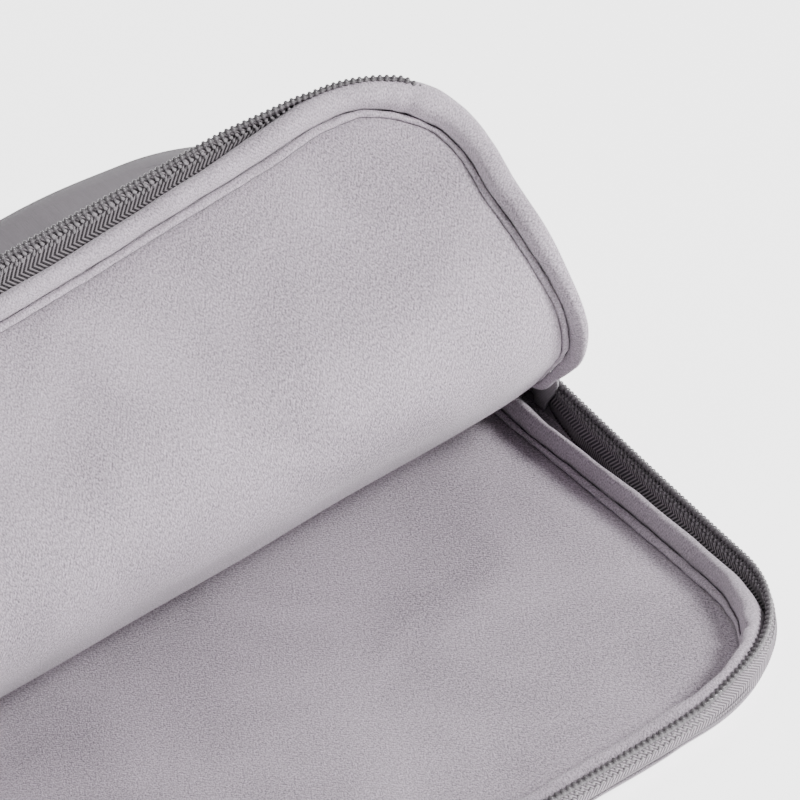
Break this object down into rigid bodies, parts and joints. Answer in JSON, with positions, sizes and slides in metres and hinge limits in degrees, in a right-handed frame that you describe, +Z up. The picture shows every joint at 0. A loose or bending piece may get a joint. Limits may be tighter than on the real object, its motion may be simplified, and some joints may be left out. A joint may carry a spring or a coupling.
{
  "type": "laptop sleeve",
  "caption": "Padded zip-round laptop sleeve, shown unzipped with its front panel folded back to show a plush-lined pocket and padded rim.",
  "frame": {"origin": "on the ground under the middle of the closed sleeve's outline", "axes": "+X along the long edges, +Y towards the edge that stays closed, +Z up out of the lower half"},
  "size_m": [0.38, 0.27, 0.1072],
  "materials": {
    "plush_lining": "short brushed plush, matt with a soft sheen",
    "outer_fabric": "fine woven polyester, matt",
    "foam": "closed-cell foam",
    "zip_tape": "herringbone woven tape",
    "zip_coil": "semi-gloss nylon monofilament",
    "thread": "twisted polyester thread",
    "zip_metal": "dark plated zinc",
    "pull_rubber": "soft moulded grip"
  },
  "bodies": {
    "base": {"back_foam": "foam", "back_lining": "plush_lining", "back_rim": "plush_lining", "back_seam_strip": "plush_lining", "back_shell": "outer_fabric", "front_foam": "foam", "front_lining": "plush_lining", "front_rim": "plush_lining", "front_seam_strip": "plush_lining", "front_shell": "outer_fabric", "gusset_lining": "plush_lining", "lower_coil_stitching": "thread", "lower_zip_coil": "zip_coil", "lower_zip_tape": "zip_tape", "side_gusset": "outer_fabric", "zip_end_stops": "zip_metal", "zip_end_tab_left": "outer_fabric", "zip_end_tab_right": "outer_fabric"},
    "flap_root": {"flap_foam_root": "foam", "flap_lining_root": "plush_lining", "flap_rim_root": "plush_lining", "flap_seam_strip_root": "plush_lining", "flap_shell_root": "outer_fabric", "upper_coil_stitching_root": "thread", "upper_zip_coil_root": "zip_coil", "upper_zip_tape_root": "zip_tape"},
    "flap_lower": {"flap_foam_lower": "foam", "flap_lining_lower": "plush_lining", "flap_rim_lower": "plush_lining", "flap_seam_strip_lower": "plush_lining", "flap_shell_lower": "outer_fabric", "upper_coil_stitching_lower": "thread", "upper_zip_coil_lower": "zip_coil", "upper_zip_tape_lower": "zip_tape"},
    "flap_middle": {"flap_foam_middle": "foam", "flap_lining_middle": "plush_lining", "flap_rim_middle": "plush_lining", "flap_seam_strip_middle": "plush_lining", "flap_shell_middle": "outer_fabric", "upper_coil_stitching_middle": "thread", "upper_zip_coil_middle": "zip_coil", "upper_zip_tape_middle": "zip_tape"},
    "flap_tip": {"flap_foam_tip": "foam", "flap_lining_tip": "plush_lining", "flap_rim_tip": "plush_lining", "flap_seam_strip_tip": "plush_lining", "flap_shell_tip": "outer_fabric", "upper_coil_stitching_tip": "thread", "upper_zip_coil_tip": "zip_coil", "upper_zip_tape_tip": "zip_tape"},
    "zip_slider": {"slider_body": "zip_metal", "slider_pin": "zip_metal"},
    "zip_pull": {"pull_grip": "pull_rubber", "pull_link": "zip_metal"}
  },
  "joints": [
    {"name": "flap_fold", "type": "hinge", "parent": "base", "child": "flap_root", "pos_m": [0, -0.0185, 0.0205], "axis": [-1, 0, 0], "range_deg": [-48, 14]},
    {"name": "flap_bend_lower", "type": "hinge", "parent": "flap_root", "child": "flap_lower", "pos_m": [0, -0.03857, 0.04279], "axis": [-1, 0, 0], "range_deg": [-32, 9.4]},
    {"name": "flap_bend_middle", "type": "hinge", "parent": "flap_lower", "child": "flap_middle", "pos_m": [0, -0.04066, 0.05461], "axis": [-1, 0, 0], "range_deg": [-32, 9.4]},
    {"name": "flap_bend_upper", "type": "hinge", "parent": "flap_middle", "child": "flap_tip", "pos_m": [0, -0.03541, 0.06759], "axis": [-1, 0, 0], "range_deg": [-32, 9.4]},
    {"name": "slider_travel", "type": "slide", "parent": "base", "child": "zip_slider", "axis": [0, -1, 0], "range_m": [0, 0.062]},
    {"name": "pull_swing", "type": "hinge", "parent": "zip_slider", "child": "zip_pull", "pos_m": [-0.1888, -0.0265, 0.012], "axis": [0, 0, 1], "range_deg": [0, 170]}
  ],
  "couplings": [
    {"joint": "flap_bend_lower", "follows": "flap_fold", "ratio": 0.66667},
    {"joint": "flap_bend_middle", "follows": "flap_fold", "ratio": 0.66667},
    {"joint": "flap_bend_upper", "follows": "flap_fold", "ratio": 0.66667}
  ]
}
